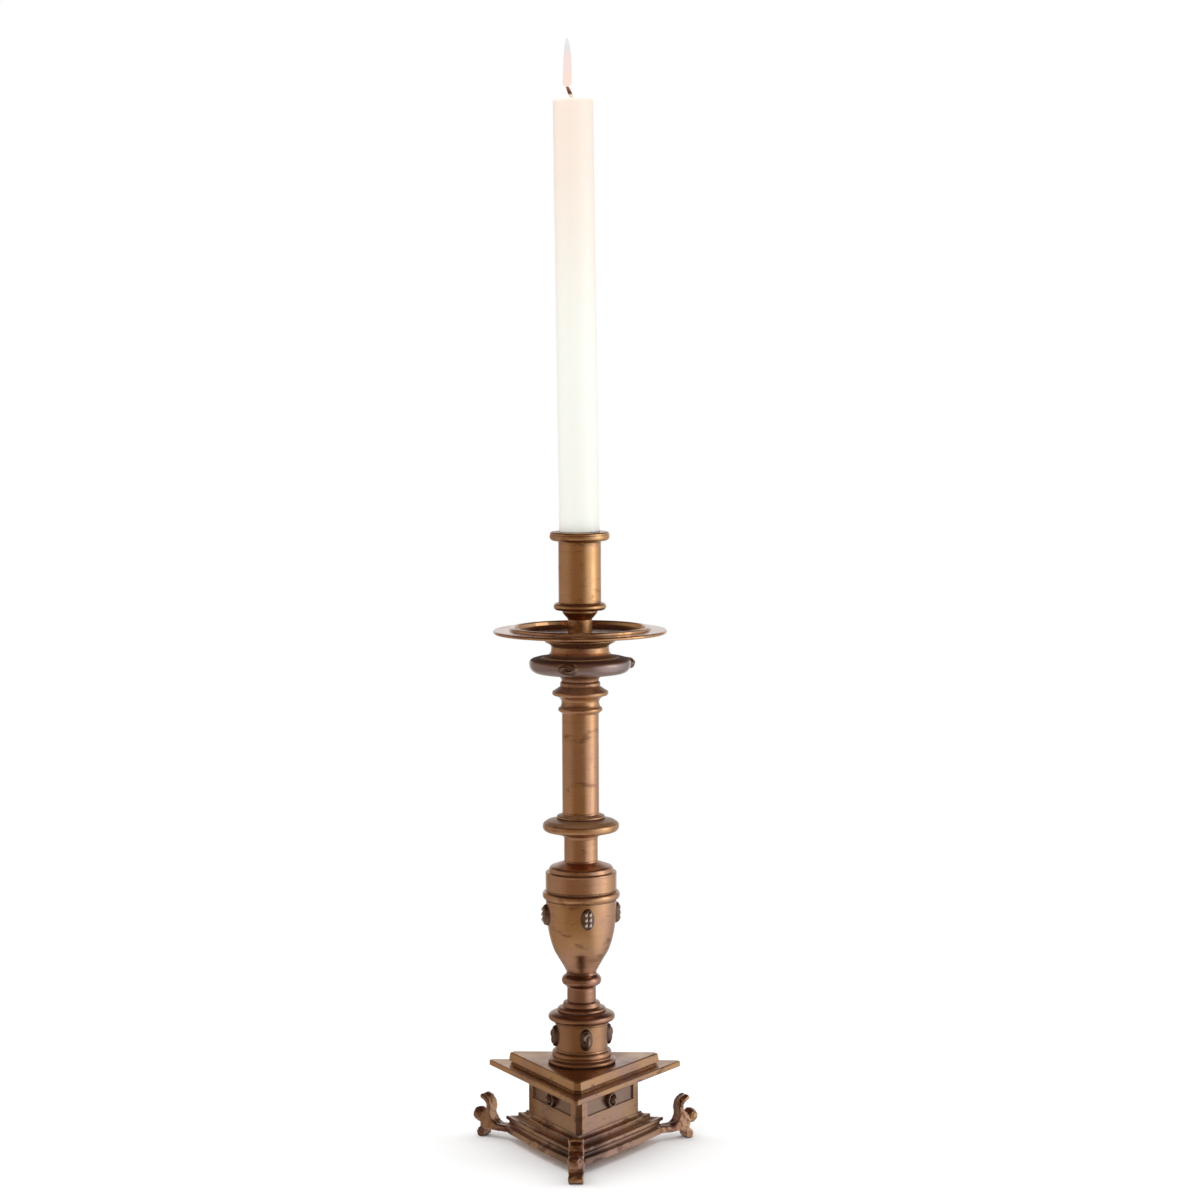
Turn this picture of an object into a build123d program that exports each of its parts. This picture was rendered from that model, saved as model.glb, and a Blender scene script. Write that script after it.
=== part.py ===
from build123d import *
import os
from math import cos, radians, sin, sqrt, tan

os.makedirs("parts", exist_ok=True)

# Brass candlestick in millimetres. The column stands on +Z, the origin is where its axis
# meets the table, and one corner of the three-cornered base points along -Y.

# ---- Fits ----
slip = 0.05            # radial gap of a spigot, peg or screw in its hole
rod_gap = 0.3          # radial gap round the tie rod
candle_gap = 0.25      # radial gap between the candle's butt and the socket
end_gap = 0.5          # free depth below a butt, peg or screw end

# ---- Tie rod, which clamps the whole column ----
rod_r = 3.0
nut_af = 10.0          # across flats
nut_h = 5.0
washer_r = 8.0
washer_h = 1.2
spigot_r = 5.2
spigot_h = 2.0

# ---- Base: feet, plinth, die, cornice, cap ----
corner_angles = (-90, 30, 150)
table_gap = 4.9        # underside of the plinth above the table
foot_w = 8.2           # flat-to-flat width of each foot
foot_root_l = 2.05     # length of the foot's root inside the scroll
plate_a = 28.4         # side distances from the axis, up the plinth
step2_a = 26.9
step1_a = 22.4
die_a = 18.95
cornice_a = 31.8
cap_a = 25.6
plate_h = 3.6          # heights up the plinth
cove3_h = 3.1
step2_h = 1.8
cove2_h = 1.3
step1_h = 1.8
cove1_h = 2.0
die_h = 22.7
cornice_h = 3.3
cap_h = 6.2
side_bow_r = 750.0     # plan radius of the plinth's slightly full sides
plinth_wall = 8.4
die_corner_w = 4.2     # flats across the corners
cornice_corner_w = 2.4
cap_corner_w = 4.2
die_wall = 4.4
die_rosette_r = 4.6
panel_half_w = 23.6
panel_h = 2 * die_rosette_r
panel_depth = 1.0
panel_rise = 8.8       # bottom of the panel above the bottom of the die
foot_screw_r = plate_h / 2 - 0.7             # leaves metal above and below it in the foot's root
foot_screw_head_r = foot_screw_r + 0.6
foot_screw_head_h = 1.6
foot_screw_bite = 8.5  # length of thread in the foot
foot_screw_rise = plate_h / 2                # screw axis above the underside of the plinth
plinth_hollow_h = 6.5

# ---- Column, from the base up: radii and heights ----
drum_r = 14.4
drum_h = 13.9
drum_wall = 5.0
drum_ring_r = drum_r + 4.4
drum_base_h = 8.3
drum_cap_r = drum_r + 4.1
drum_cap_h = 13.4
knop_neck_r = 8.0
knop_r = 11.0
knop_h = 15.5
urn_r = 19.5
urn_h = 40.3
urn_foot_r = 8.2
lid_r = urn_r + 0.1
lid_ring_r = urn_r + 1.9
lid_h = 22.2
collar_neck_r = 9.3
collar_neck_h = 12.0
collar_r = 21.1
collar_h = 14.6
stem_r = 10.15
stem_h = 54.8
stem_wall = 3.0
stem_land = 6.0
capital_r = stem_r + 5.35
capital_h = 22.2
disc_r = 27.9
disc_h = 8.7
spool_r = 16.0
spool_h = 9.7
pan_dish_r = 35.2
pan_ring_r = pan_dish_r + 3.5
pan_r = pan_ring_r + 9.1
pan_floor = 3.5
pan_edge_rise = 3.7    # underside of the rim above the seat of the pan
pan_rim_t = 1.9
pan_ring_h = 1.7       # raised ring above the rim

# ---- Candle ----
candle_r = 11.1
candle_shoulder = 1.1  # step in from the candle to its butt
candle_butt_r = candle_r - candle_shoulder
candle_h = 234.2       # above the socket rim
wick_r = 0.9
wick_rise = 4.6
wick_reach = 3.4
wick_tip_h = 2.6

# ---- Candle cup and its stand, sized by the candle's butt ----
cup_wall = 1.45
cup_r = candle_butt_r + candle_gap + cup_wall
cup_neck_r = 6.6
cup_neck_h = 12.9
cup_flange_r = cup_r + 2.8
cup_flange_h = 4.4
cup_rim_r = cup_r + 4.8
cup_rim_h = 5.0
cup_h = 38.7
socket_depth = 19.5
socket_web = 6.0       # metal between the socket's floor and the tie rod

# ---- Ornaments ----
urn_cabochon_count = 4
urn_cabochon_turn = -76.5
urn_cabochon_rise = 32.5
drum_cabochon_count = 4
drum_cabochon_turn = -77.5
drum_cabochon_rise = 7.1
cabochon_half = (2.9, 4.1, 6.4)   # out from the wall, across, up
disc_rosette_count = 3
disc_rosette_turn = -101.0
disc_rosette_half = (3.0, 5.9, 3.3)   # out from the edge, across, up
disc_rosette_rise = 4.8
rosette_seat = 0.9     # how far a rosette's boss is let into the disc's edge
rosette_boss_r = 2.4
peg_r = 1.0
peg_l = 2.4

# ---- Levels, each worked out from the piece below ----
plinth_h = plate_h + cove3_h + step2_h + cove2_h + step1_h + cove1_h
die_z = table_gap + plinth_h
cornice_z = die_z + die_h
cap_z = cornice_z + cornice_h
drum_base_z = cap_z + cap_h
drum_z = drum_base_z + drum_base_h
drum_cap_z = drum_z + drum_h
knop_z = drum_cap_z + drum_cap_h
urn_z = knop_z + knop_h
lid_z = urn_z + urn_h
collar_neck_z = lid_z + lid_h
collar_z = collar_neck_z + collar_neck_h
stem_z = collar_z + collar_h
capital_z = stem_z + stem_h
disc_z = capital_z + capital_h
spool_z = disc_z + disc_h
pan_z = spool_z + spool_h
stand_z = pan_z + pan_floor
cup_z = stand_z + cup_neck_h + cup_flange_h
rim_z = cup_z + cup_h
socket_floor_z = rim_z - socket_depth
rod_top_z = socket_floor_z - socket_web
web_z = table_gap + plinth_hollow_h
nut_z = web_z - washer_h - nut_h
die_rosette_z = die_z + panel_rise + panel_h / 2
drum_cabochon_z = drum_z + drum_cabochon_rise
urn_cabochon_z = urn_z + urn_cabochon_rise
disc_rosette_z = disc_z + disc_rosette_rise
rod_hole_r = rod_r + rod_gap
bow_x = (plate_a - side_bow_r) * cos(radians(60))     # centre of a side's bow, seen along a corner
bow_y = (plate_a - side_bow_r) * sin(radians(60))
foot_in_r = bow_x + sqrt(side_bow_r ** 2 - (foot_w / 2 - bow_y) ** 2)     # where the plate is as wide as a foot
foot_screw_z = table_gap + foot_screw_rise


def spaced(first, count):
    """Angles of count equal ornaments round the column, from the first."""
    return [first + 360 / count * k for k in range(count)]


urn_cabochon_angles = spaced(urn_cabochon_turn, urn_cabochon_count)
drum_cabochon_angles = spaced(drum_cabochon_turn, drum_cabochon_count)
disc_rosette_angles = spaced(disc_rosette_turn, disc_rosette_count)


def turned(*outline):
    """Revolve a closed outline. (r, z) draws a line, (r, z, r, z) an arc through its first point."""
    here = outline[0]
    edges = []
    for step in outline[1:]:
        end = step[-2:]
        if len(step) == 2:
            edges.append(Line((here[0], 0, here[1]), (end[0], 0, end[1])))
        else:
            edges.append(ThreePointArc((here[0], 0, here[1]), (step[0], 0, step[1]), (end[0], 0, end[1])))
        here = end
    edges.append(Line((here[0], 0, here[1]), (outline[0][0], 0, outline[0][1])))
    return revolve(make_face(edges), Axis.Z)


def raised(outline, z):
    """The same outline with every height lifted by z."""
    return [tuple(v + z * (k % 2) for k, v in enumerate(step)) for step in outline]


def column(z, h, outline):
    """A turned piece of the column: its outline rises from z and closes on the rod's hole."""
    return turned((rod_hole_r, z), *raised(outline, z), (rod_hole_r, z + h))


def drill(z0, z1, r):
    return Pos(0, 0, z0) * Cylinder(r, z1 - z0, align=(Align.CENTER, Align.CENTER, Align.MIN))


def spigot(z, h=spigot_h):
    """The short tube on top of a piece that centres the next one."""
    return drill(z, z + h, spigot_r) - drill(z, z + h, rod_hole_r)


def spigot_hole(z):
    return drill(z, z + spigot_h + end_gap, spigot_r + slip)


def corner_section(a, corner_w):
    """Three-cornered outline with sides at distance a and a flat of width corner_w at each corner."""
    corner_r = 2 * a - corner_w / 2 / tan(radians(30))
    points = []
    for angle in corner_angles:
        c, s = cos(radians(angle)), sin(radians(angle))
        points += [(corner_r * c + side * s, corner_r * s - side * c) for side in (corner_w / 2, -corner_w / 2)]
    return make_face(Polyline(*points, close=True))


def slab(a, corner_w, z, h, taper=0):
    return Pos(0, 0, z) * extrude(corner_section(a, corner_w), h, taper=taper)


def on_corner(solid, angle):
    return Rot(0, 0, angle) * solid


# ---- Plinth: mitred mouldings round a hollow, cut off where the feet butt ----
def plinth():
    z1 = plate_h
    z2 = z1 + cove3_h
    z3 = z2 + step2_h
    z4 = z3 + cove2_h
    z5 = z4 + step1_h
    lip = 0.5
    back = plate_a - side_bow_r
    outline = [
        Line((back, 0), (plate_a, 0)),
        Line((plate_a, 0), (plate_a, z1 - lip)),
        ThreePointArc((plate_a, z1 - lip), (plate_a - 0.3 * lip, z1 - 0.3 * lip), (plate_a - lip, z1)),
        Line((plate_a - lip, z1), (step2_a + lip, z1)),
        ThreePointArc((step2_a + lip, z1), (step2_a - 1.2, z1 + 0.45 * cove3_h), (step2_a, z2)),
        Line((step2_a, z2), (step2_a, z3 - lip)),
        ThreePointArc((step2_a, z3 - lip), (step2_a - 0.3 * lip, z3 - 0.3 * lip), (step2_a - lip, z3)),
        ThreePointArc((step2_a - lip, z3), (step1_a + 1.4, z3 + 0.15), (step1_a, z4)),
        Line((step1_a, z4), (step1_a, z5 - lip)),
        ThreePointArc((step1_a, z5 - lip), (step1_a - 0.3 * lip, z5 - 0.3 * lip), (step1_a - lip, z5)),
        ThreePointArc((step1_a - lip, z5), (die_a + 1.1, z5 + 0.5), (die_a + 0.4, z5 + cove1_h)),
        Line((die_a + 0.4, z5 + cove1_h), (back, z5 + cove1_h)),
        Line((back, z5 + cove1_h), (back, 0)),
    ]
    profile = Rot(90, 0, 0) * make_face(outline)
    sweep_angle = 16
    bowed = revolve(Rot(0, 0, -sweep_angle / 2) * Pos(-back, 0, 0) * profile, Axis.Z, sweep_angle)
    bowed = Pos(back, 0, table_gap) * bowed
    body = None
    for angle in corner_angles:
        side = on_corner(bowed, angle + 180)
        body = side if body is None else body & side
    size = 4 * plate_a
    for angle in corner_angles:
        off = Pos(foot_in_r + size / 2, 0, table_gap + plate_h / 2) * Box(size, size, plate_h)
        body -= on_corner(off, angle)
    body -= slab(plate_a - plinth_wall, foot_w, table_gap, plinth_hollow_h)
    body -= drill(table_gap, die_z, rod_hole_r)
    for angle in corner_angles:
        body -= on_corner(radial_cylinder(0, foot_in_r, foot_screw_z, foot_screw_r + 4 * slip), angle)
    return body + spigot(die_z)


def radial_cylinder(r0, r1, z, r):
    return Pos((r0 + r1) / 2, 0, z) * Rot(0, 90, 0) * Cylinder(r, r1 - r0)


# ---- Feet: a flat-sided scroll with an upturned leaf, a ball and a toe ----
def foot():
    r0 = foot_in_r
    z0 = table_gap
    scroll = r0 + foot_root_l
    toe_r = 2.5
    toe = (scroll + 16.6, toe_r)
    ball = (scroll + 18.6, 12.3)
    ball_r = 4.4
    leaf_root = (scroll + 12.6, 16.6)
    leaf_tip = (scroll + 15.6, 23.2)
    leaf_start = 5.2       # where the leaf begins to rise from the root
    outline = [
        Line((r0, z0), (toe[0] - 4.0, z0)),
        ThreePointArc((toe[0] - 4.0, z0), (toe[0] - 2.9, z0 - 0.6), (toe[0] - 2.35, toe[1] + 0.8)),
        ThreePointArc((toe[0] - 2.35, toe[1] + 0.8), (toe[0], 0), (toe[0] + 2.35, toe[1] + 0.8)),
        ThreePointArc((toe[0] + 2.35, toe[1] + 0.8), (toe[0] + 1.2, toe[1] + 2.6), (toe[0], toe[1] + 3.9)),
        Line((toe[0], toe[1] + 3.9), (ball[0] - 1.4, ball[1] - 3.0)),
        Line((ball[0] - 1.4, ball[1] - 3.0), (ball[0] - 3.4, ball[1] + 2.6)),
        Line((ball[0] - 3.4, ball[1] + 2.6), leaf_root),
        ThreePointArc(leaf_root, (leaf_root[0] + 0.7, leaf_root[1] + 3.6), (leaf_tip[0], leaf_tip[1] - 0.8)),
        ThreePointArc((leaf_tip[0], leaf_tip[1] - 0.8), (leaf_tip[0] + 0.9, leaf_tip[1] + 0.9),
                      (leaf_tip[0] - 0.6, leaf_tip[1] + 1.5)),
        ThreePointArc((leaf_tip[0] - 0.6, leaf_tip[1] + 1.5), (leaf_root[0] - 1.7, leaf_root[1] + 4.8),
                      (leaf_root[0] - 2.6, leaf_root[1] + 0.2)),
        ThreePointArc((leaf_root[0] - 2.6, leaf_root[1] + 0.2), (leaf_root[0] - 2.2, leaf_root[1] - 2.0),
                      (leaf_root[0] - 2.6, leaf_root[1] - 3.4)),
        ThreePointArc((leaf_root[0] - 2.6, leaf_root[1] - 3.4), (leaf_root[0] - 4.2, z0 + plate_h + 1.6),
                      (scroll + leaf_start, z0 + plate_h)),
        Line((scroll + leaf_start, z0 + plate_h), (r0, z0 + plate_h)),
        Line((r0, z0 + plate_h), (r0, z0)),
    ]
    side = Rot(90, 0, 0) * make_face(outline)
    body = extrude(side, foot_w / 2, dir=(0, 1, 0), both=True)
    body += Pos(ball[0], 0, ball[1]) * Sphere(ball_r)
    return body - radial_cylinder(r0 - 1, r0 + foot_screw_bite + end_gap, foot_screw_z, foot_screw_r + slip)


def foot_screw():
    head_r0 = 2 * (plate_a - plinth_wall) - foot_w / 2 / tan(radians(30))
    shank = radial_cylinder(head_r0 - foot_screw_head_h, foot_in_r + foot_screw_bite, foot_screw_z, foot_screw_r)
    head = radial_cylinder(head_r0 - foot_screw_head_h, head_r0, foot_screw_z, foot_screw_head_r)
    slot_w = 0.9
    slot_depth = 1.1
    slot_x = head_r0 - foot_screw_head_h + slot_depth / 2
    slot = Pos(slot_x, 0, foot_screw_z) * Box(slot_depth, 3 * foot_screw_head_r, slot_w)
    return shank + head - slot


# ---- Die, cornice and cap ----
def side_panel(angle, inset, depth):
    """A block that reaches depth into the die's side, for cutting its panel."""
    block = Box(2 * depth, 2 * panel_half_w - 2 * inset, panel_h - 2 * inset)
    return Rot(0, 0, angle) * Pos(die_a, 0, die_z + panel_rise + panel_h / 2) * block


def die():
    body = slab(die_a, die_corner_w, die_z, die_h)
    uprights = [e for e in body.edges() if e.bounding_box().size.Z > die_h / 2]
    body = fillet(uprights, 0.7)
    for angle in corner_angles:
        body -= side_panel(angle + 180, 0, panel_depth)
        body -= Rot(0, 0, angle + 180) * radial_cylinder(
            die_a - panel_depth - peg_l - end_gap, die_a, die_rosette_z, peg_r + slip)
    floor = 4.0
    body -= slab(die_a - die_wall, die_corner_w, die_z + floor, die_h - 2 * floor)
    body -= drill(die_z, cornice_z, rod_hole_r)
    body -= spigot_hole(die_z)
    return body + spigot(cornice_z)


def cornice():
    body = slab(cornice_a, cornice_corner_w, cornice_z, cornice_h)
    body = fillet([e for e in body.edges() if e.bounding_box().size.Z < 1e-3], 0.8)
    return body - drill(cornice_z, cap_z, rod_hole_r) - spigot_hole(cornice_z) + spigot(cap_z)


def cap():
    """A slab with leaning sides and a rounded top edge on a recessed fillet and cove."""
    fillet_h = 0.5
    cove_h = 1.5
    foot_slab = slab(cap_a - 0.6, cap_corner_w, cap_z, fillet_h)
    cove = slab(cap_a - 1.3, cap_corner_w, cap_z + fillet_h, cove_h - fillet_h)
    top = slab(cap_a, cap_corner_w, cap_z + cove_h, cap_h - cove_h, taper=8)
    top = fillet(top.edges().group_by(Axis.Z)[-1], 1.1)
    body = foot_slab + cove + top
    body -= drill(cap_z, drum_base_z, rod_hole_r) + spigot_hole(cap_z)
    return body + spigot(drum_base_z)


# ---- Column ----
def drum_base():
    r, h = drum_ring_r, drum_base_h
    body = column(drum_base_z, h, [
        (r - 0.9, 0), (r, 1.5, r - 0.9, 2.9), (r - 1.9, 2.9), (r - 2.5, 3.6, r - 2.3, 4.3),
        (r - 2.2, 5.7, r - 2.9, 7.2), (drum_r + 0.5, 7.3), (drum_r + 0.2, h)])
    return body - spigot_hole(drum_base_z) + spigot(drum_z)


def drum():
    body = column(drum_z, drum_h, [(drum_r, 0), (drum_r, drum_h)])
    inner = drum_r - drum_wall
    body -= drill(drum_z + drum_wall, drum_cap_z - drum_wall, inner)
    body -= spigot_hole(drum_z)
    for angle in drum_cabochon_angles:
        body -= Rot(0, 0, angle) * radial_cylinder(
            drum_r - peg_l - end_gap, drum_r + 1, drum_cabochon_z, peg_r + slip)
    return body + spigot(drum_cap_z)


def drum_cap():
    r, h = drum_cap_r, drum_cap_h
    body = column(drum_cap_z, h, [
        (drum_r + 0.5, 0), (drum_r + 0.8, 0.65, drum_r + 0.5, 1.3), (r - 2.4, 1.5), (r - 0.8, 2.3),
        (r, 4.0, r - 0.9, 5.7),
        (r - 2.6, 6.5, r - 5.4, 7.0), (r - 5.1, 8.2, r - 6.0, 9.2), (r - 8.0, 9.7),
        (r - 8.2, 11.0, r - 8.6, 12.1), (knop_neck_r, 12.6), (knop_neck_r, h)])
    return body - spigot_hole(drum_cap_z) + spigot(knop_z)


def knop():
    r, h = knop_r, knop_h
    body = column(knop_z, h, [
        (knop_neck_r, 0), (knop_neck_r, 5.2), (knop_neck_r + 0.3, 7.2, knop_neck_r + 1.3, 8.2),
        (r - 0.6, 9.0), (r, 11.0, r - 0.9, 13.2), (urn_foot_r + 0.5, 14.3), (urn_foot_r, h)])
    return body - spigot_hole(knop_z) + spigot(urn_z)


def urn_outline():
    k = urn_foot_r
    return [(k, 0), (k + 1.9, 3.6), (urn_r - 4.6, 11.7), (urn_r - 1.9, 20.0, urn_r - 0.8, 26.0),
            (urn_r - 0.1, 34.0, urn_r, urn_h)]


def urn():
    body = column(urn_z, urn_h, urn_outline())
    hollow = [(10.0, 15.0), (urn_r - 5.2, 27.0), (urn_r - 4.6, urn_h - 5.0)]
    inside = [(spigot_r + 1, urn_z + 11.0)] + [(r, urn_z + z) for r, z in hollow]
    body -= turned((0, urn_z + 11.0), *inside, (0, urn_z + urn_h - 5.0))
    body -= spigot_hole(urn_z)
    for angle in urn_cabochon_angles:
        body -= Rot(0, 0, angle) * radial_cylinder(
            urn_r - 0.5 - peg_l - end_gap, urn_r + 1, urn_cabochon_z, peg_r + slip)
    return body + spigot(lid_z)


def urn_lid():
    r, h = lid_r, lid_h
    body = column(lid_z, h, [
        (urn_r - 0.3, 0), (urn_r - 0.3, 0.6), (lid_ring_r - 0.7, 1.1), (lid_ring_r, 2.9, lid_ring_r - 0.7, 4.7),
        (r - 0.4, 5.1), (r - 0.4, 5.7), (r, 6.0), (r, 14.4), (r + 0.1, 15.1, r - 0.3, 15.8),
        (r - 1.7, 16.0), (r - 1.9, 16.8), (r - 2.1, 18.0, r - 3.4, 19.1), (collar_neck_r + 0.3, 21.4),
        (collar_neck_r, h)])
    body -= drill(lid_z + 5.0, lid_z + 13.4, r - 5.0)
    return body - spigot_hole(lid_z) + spigot(collar_neck_z)


def collar_neck():
    body = column(collar_neck_z, collar_neck_h, [(collar_neck_r, 0), (collar_neck_r, collar_neck_h)])
    return body - spigot_hole(collar_neck_z) + spigot(collar_z)


def collar():
    r, h = collar_r, collar_h
    body = column(collar_z, h, [
        (collar_neck_r, 0), (collar_neck_r + 0.6, 1.6), (collar_neck_r + 3.0, 2.7, collar_neck_r + 4.0, 3.8),
        (r - 2.6, 4.0), (r - 0.5, 5.2, r, 6.9), (r - 0.2, 8.2, r - 1.2, 9.2), (r - 2.6, 10.1), (r - 8.2, 11.2),
        (r - 7.8, 12.1, r - 8.6, 13.1), (stem_r + 0.3, 13.7), (stem_r, h)])
    return body - spigot_hole(collar_z) + spigot(stem_z)


def stem():
    body = column(stem_z, stem_h, [(stem_r, 0), (stem_r, stem_h)])
    body -= drill(stem_z + stem_land, capital_z - stem_land, stem_r - stem_wall)
    return body - spigot_hole(stem_z) + spigot(capital_z)


def capital():
    r, h = capital_r, capital_h
    body = column(capital_z, h, [
        (stem_r, 0), (r - 4.2, 1.1), (r - 3.3, 2.5, r - 4.2, 3.6), (r - 5.0, 5.3, r - 5.1, 7.0),
        (r - 3.7, 8.9, r - 1.3, 10.0), (r, 11.3, r - 1.1, 12.8), (r - 3.4, 14.3), (r - 4.6, 15.2),
        (r - 4.4, 16.6, r - 5.4, 18.0), (r - 4.9, 19.4, r - 3.2, 20.9), (r - 1.9, h)])
    return body - spigot_hole(capital_z) + spigot(disc_z)


def disc_outline():
    r, h = disc_r, disc_h
    return [(capital_r - 1.9, 0), (r - 6.8, 0.6), (r - 1.0, 2.1, r, 4.7), (r - 0.3, 7.1, r - 2.8, h - 0.4),
            (r - 3.6, h)]


def boss_disc():
    body = column(disc_z, disc_h, disc_outline())
    for angle in disc_rosette_angles:
        body -= Rot(0, 0, angle) * radial_cylinder(
            disc_r - 1 - peg_l - end_gap, disc_r + 1, disc_rosette_z, peg_r + slip)
        body -= Rot(0, 0, angle) * radial_cylinder(
            disc_r - rosette_seat, disc_r + 1, disc_rosette_z, rosette_boss_r + slip)
    return body - spigot_hole(disc_z) + spigot(spool_z)


def pan_spool():
    r, h = spool_r, spool_h
    body = column(spool_z, h, [
        (r + 5.2, 0), (r + 4.6, 0.6), (r + 0.7, 2.4, r, 4.6), (r + 0.1, 6.6, r + 0.9, 7.6), (r + 3.2, 8.6),
        (r + 3.9, h)])
    return body - spigot_hole(spool_z) + spigot(pan_z, pan_floor + spigot_h)


def drip_pan():
    rim0 = pan_edge_rise
    rim1 = rim0 + pan_rim_t
    top = rim1 + pan_ring_h
    wall_out = pan_ring_r - 0.4
    body = turned(
        (spigot_r + slip, pan_z), (spool_r + 3.9, pan_z), (spool_r + 10.0, pan_z + 0.4 * rim0),
        (wall_out, pan_z + 0.8 * rim0), (pan_r - 0.9, pan_z + rim0),
        (pan_r, pan_z + (rim0 + rim1) / 2, pan_r - 0.9, pan_z + rim1), (pan_ring_r, pan_z + rim1),
        (pan_ring_r - 0.2, pan_z + top - 0.4),
        (pan_ring_r - 1.6, pan_z + top + 0.1, pan_dish_r + 0.6, pan_z + top - 0.4),
        (pan_dish_r, pan_z + rim1 - 0.4),
        (pan_dish_r - 0.9, pan_z + pan_floor + 0.6, pan_dish_r - 3.2, pan_z + pan_floor),
        (spigot_r + slip, pan_z + pan_floor))
    return body


def cup_stand():
    """The neck that rises from the dish and spreads into a flange under the cup."""
    neck, flange = cup_neck_r, cup_flange_r
    top = cup_neck_h
    body = column(stand_z, top + cup_flange_h, [
        (neck, 0), (neck, top - 5.1), (neck + 0.5, top - 4.2), (neck + 1.9, top - 2.7, neck + 3.1, top - 1.0),
        (neck + 3.1, top), (flange - 1.2, top + 0.3), (flange, top + 2.1, flange - 1.2, top + 3.9),
        (cup_r + 0.1, top + cup_flange_h)])
    return body - spigot_hole(stand_z) + spigot(cup_z)


def candle_cup():
    rim0 = cup_h - cup_rim_h
    bore_r = candle_butt_r + candle_gap
    thread_r = rod_r + slip
    outline = raised([
        (cup_r, 0), (cup_r, rim0 - 0.6), (cup_r + 0.6, rim0), (cup_rim_r - 1.6, rim0 + 0.2),
        (cup_rim_r, rim0 + 2.2, cup_rim_r - 0.3, rim0 + 3.6), (cup_rim_r - 0.6, cup_h - 0.3, cup_rim_r - 1.5, cup_h)],
        cup_z)
    body = turned((thread_r, cup_z), *outline, (bore_r + 0.6, rim_z), (bore_r, rim_z - 0.6),
                  (bore_r, socket_floor_z), (0, socket_floor_z), (0, rod_top_z + end_gap),
                  (thread_r, rod_top_z + end_gap))
    return body - spigot_hole(cup_z)


# ---- Ornaments ----
def cabochon(wall_r, z, lean, inside):
    """An oval dome with a peg, cut to the wall that it sits on."""
    out, across, up = cabochon_half
    dome = Pos(wall_r - 0.3, 0, z) * Rot(0, lean, 0) * scale(Sphere(1), by=(out, across, up))
    dome -= inside
    return dome + radial_cylinder(wall_r - 0.5 - peg_l, wall_r + 0.5, z, peg_r)


def disc_rosette():
    """A low oval flower head, with a round boss let into the disc's edge and a peg."""
    out, across, up = disc_rosette_half
    back = disc_r + 0.1
    head = scale(Sphere(1), by=(out, across, up))
    head -= Pos(-2 * out, 0, 0) * Box(4 * out, 4 * across, 4 * up)
    boss = radial_cylinder(disc_r - rosette_seat, back + 0.2, disc_rosette_z, rosette_boss_r)
    peg = radial_cylinder(disc_r - 1 - peg_l, disc_r, disc_rosette_z, peg_r)
    return Pos(back, 0, disc_rosette_z) * head + boss + peg


def die_rosette():
    """A dished ring with a round knob, standing on the panel."""
    x = die_a - panel_depth
    r = die_rosette_r
    knob_r = 2.5
    ring = turned((0, 0), (r - 0.5, 0), (r, 1.2, r - 0.3, 2.3), (r - 0.9, 2.6), (r - 1.6, 1.7, knob_r - 0.4, 1.4),
                  (0, 1.4))
    knob = Pos(0, 0, 1.9) * Sphere(knob_r)
    knob -= Pos(0, 0, -knob_r) * Box(4 * knob_r, 4 * knob_r, 2 * knob_r)
    return Pos(x, 0, die_rosette_z) * Rot(0, 90, 0) * (ring + knob) + radial_cylinder(
        x - peg_l, x + 0.3, die_rosette_z, peg_r)


# ---- Candle and wick ----
def candle():
    edge = 1.6
    top = rim_z + candle_h
    body = turned(
        (wick_r, socket_floor_z + end_gap), (candle_butt_r - 0.8, socket_floor_z + end_gap),
        (candle_butt_r, socket_floor_z + end_gap + 0.8), (candle_butt_r, rim_z), (candle_r, rim_z),
        (candle_r, top - edge), (candle_r - 0.4, top - 0.4, candle_r - edge, top),
        (candle_r - 2.6, top - 0.2), (4.0, top - 1.3, wick_r, top - 1.4))
    return body


def wick():
    low = socket_floor_z + end_gap
    top = rim_z + candle_h - 1.4
    straight = drill(low, top + wick_rise, wick_r)
    path = ThreePointArc((0, 0, top + wick_rise), (-0.35 * wick_reach, 0, top + wick_rise + 0.75 * wick_tip_h),
                         (-wick_reach, 0, top + wick_rise + wick_tip_h))
    bend = sweep(Plane(origin=(0, 0, top + wick_rise), z_dir=path % 0) * Circle(wick_r), path)
    return straight + bend


# ---- Tie rod, washer and nut ----
def tie_nut():
    hexagon = extrude(RegularPolygon(nut_af / 2, 6, major_radius=False), nut_h)
    return Pos(0, 0, nut_z) * hexagon - drill(nut_z, nut_z + nut_h, rod_r + slip)


def save(name, *solids):
    export_step(Compound(label=name, children=list(solids)) if len(solids) > 1 else solids[0], f"parts/{name}.step")


feet = {"foot_front": -90, "foot_right": 30, "foot_left": 150}
one_foot = foot()
for name, angle in feet.items():
    save(name, on_corner(one_foot, angle))
one_screw = foot_screw()
save("foot_screws", *[on_corner(one_screw, angle) for angle in corner_angles])
save("plinth", plinth())
save("die", die())
save("cornice", cornice())
save("cap", cap())
save("drum_base", drum_base())
save("drum", drum())
save("drum_cap", drum_cap())
save("knop", knop())
save("urn", urn())
save("urn_lid", urn_lid())
save("collar_neck", collar_neck())
save("collar", collar())
save("stem", stem())
save("capital", capital())
save("boss_disc", boss_disc())
save("pan_spool", pan_spool())
save("drip_pan", drip_pan())
save("cup_stand", cup_stand())
save("candle_cup", candle_cup())
save("tie_rod", drill(nut_z - 0.2, rod_top_z, rod_r))
save("tie_washer", drill(nut_z + nut_h, web_z, washer_r) - drill(nut_z + nut_h, web_z, rod_hole_r))
save("tie_nut", tie_nut())
urn_solid = column(urn_z, urn_h, urn_outline())
urn_button = cabochon(urn_r - 0.1, urn_cabochon_z, 2.5, urn_solid)
save("urn_cabochons", *[Rot(0, 0, angle) * urn_button for angle in urn_cabochon_angles])
drum_solid = drill(drum_z, drum_cap_z, drum_r)
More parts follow.
